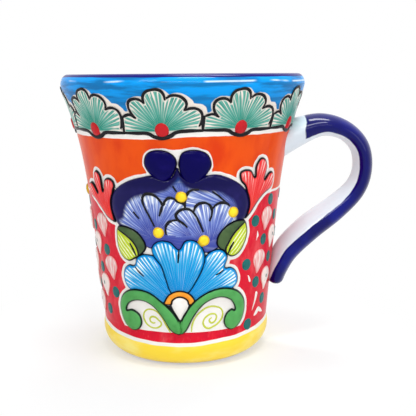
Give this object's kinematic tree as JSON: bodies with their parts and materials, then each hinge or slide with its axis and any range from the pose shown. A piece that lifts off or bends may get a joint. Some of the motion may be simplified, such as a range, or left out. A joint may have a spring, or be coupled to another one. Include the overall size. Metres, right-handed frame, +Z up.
{
  "type": "mug",
  "caption": "Flared clay mug with a navy strap handle and painted flower relief on an orange and red glaze, with a blue rolled lip.",
  "frame": {"origin": "centre of the foot, on the face that the mug rests on", "axes": "+Z up through the middle of the mug, +X towards the handle, the flower panels face -Y (front) and +Y"},
  "size_m": [0.1228, 0.0954, 0.11],
  "materials": {
    "vessel_glaze": "glossy",
    "handle_glaze": "glossy",
    "pansy_glaze": "glossy",
    "lobe_glaze": "glossy",
    "petal_glaze": "glossy",
    "leaf_glaze": "glossy",
    "bud_glaze": "glossy",
    "scroll_glaze": "glossy",
    "arch_glaze": "glossy",
    "drop_glaze": "glossy",
    "bead_glaze": "glossy",
    "lattice_glaze": "glossy",
    "rim_bead_glaze": "glossy"
  },
  "bodies": {
    "root": {"vessel": "vessel_glaze", "handle": "handle_glaze", "pansy": "pansy_glaze", "lobe_left": "lobe_glaze", "lobe_right": "lobe_glaze", "petal_left": "petal_glaze", "petal_middle": "petal_glaze", "petal_right": "petal_glaze", "leaf_left": "leaf_glaze", "leaf_right": "leaf_glaze", "bud_left": "bud_glaze", "bud_right": "bud_glaze", "scroll_left": "scroll_glaze", "scroll_right": "scroll_glaze", "arch": "arch_glaze", "drop": "drop_glaze", "panel_beads": "bead_glaze", "side_beads": "bead_glaze", "lattice_petals": "lattice_glaze", "rim_beads": "rim_bead_glaze"}
  },
  "joints": []
}
